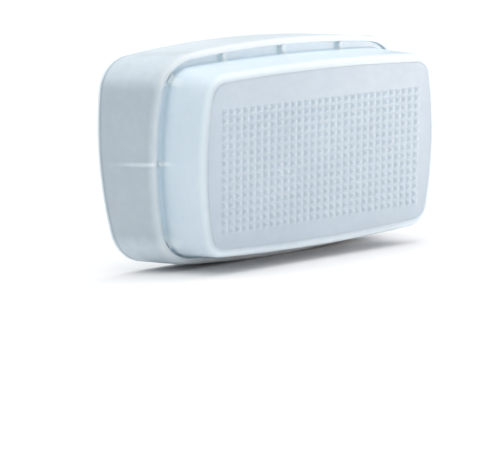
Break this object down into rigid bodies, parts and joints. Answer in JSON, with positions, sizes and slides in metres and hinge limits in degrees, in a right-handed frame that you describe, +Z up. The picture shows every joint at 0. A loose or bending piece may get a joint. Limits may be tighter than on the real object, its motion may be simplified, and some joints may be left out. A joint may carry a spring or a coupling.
{
  "type": "flash diffuser cap",
  "caption": "Milky translucent push-on diffuser cap for a shoe-mount flash head: a bowed collar with a lip, a raked box in front of it and a flat window with small square pyramids.",
  "frame": {"origin": "centre of the sleeve's mouth, in the plane of its rear rim", "axes": "the sleeve runs along Y with its mouth facing +Y and the front panel facing -Y; X is the width; Z is up"},
  "size_m": [0.0776, 0.0342, 0.0504],
  "materials": {
    "milky_plastic": "satin, milky and translucent",
    "prism_plastic": "satin, milky and translucent, with sharp moulded pyramids"
  },
  "bodies": {
    "root": {"mounting_sleeve": "milky_plastic", "diffuser_box": "milky_plastic", "prism_window": "prism_plastic"}
  },
  "joints": []
}
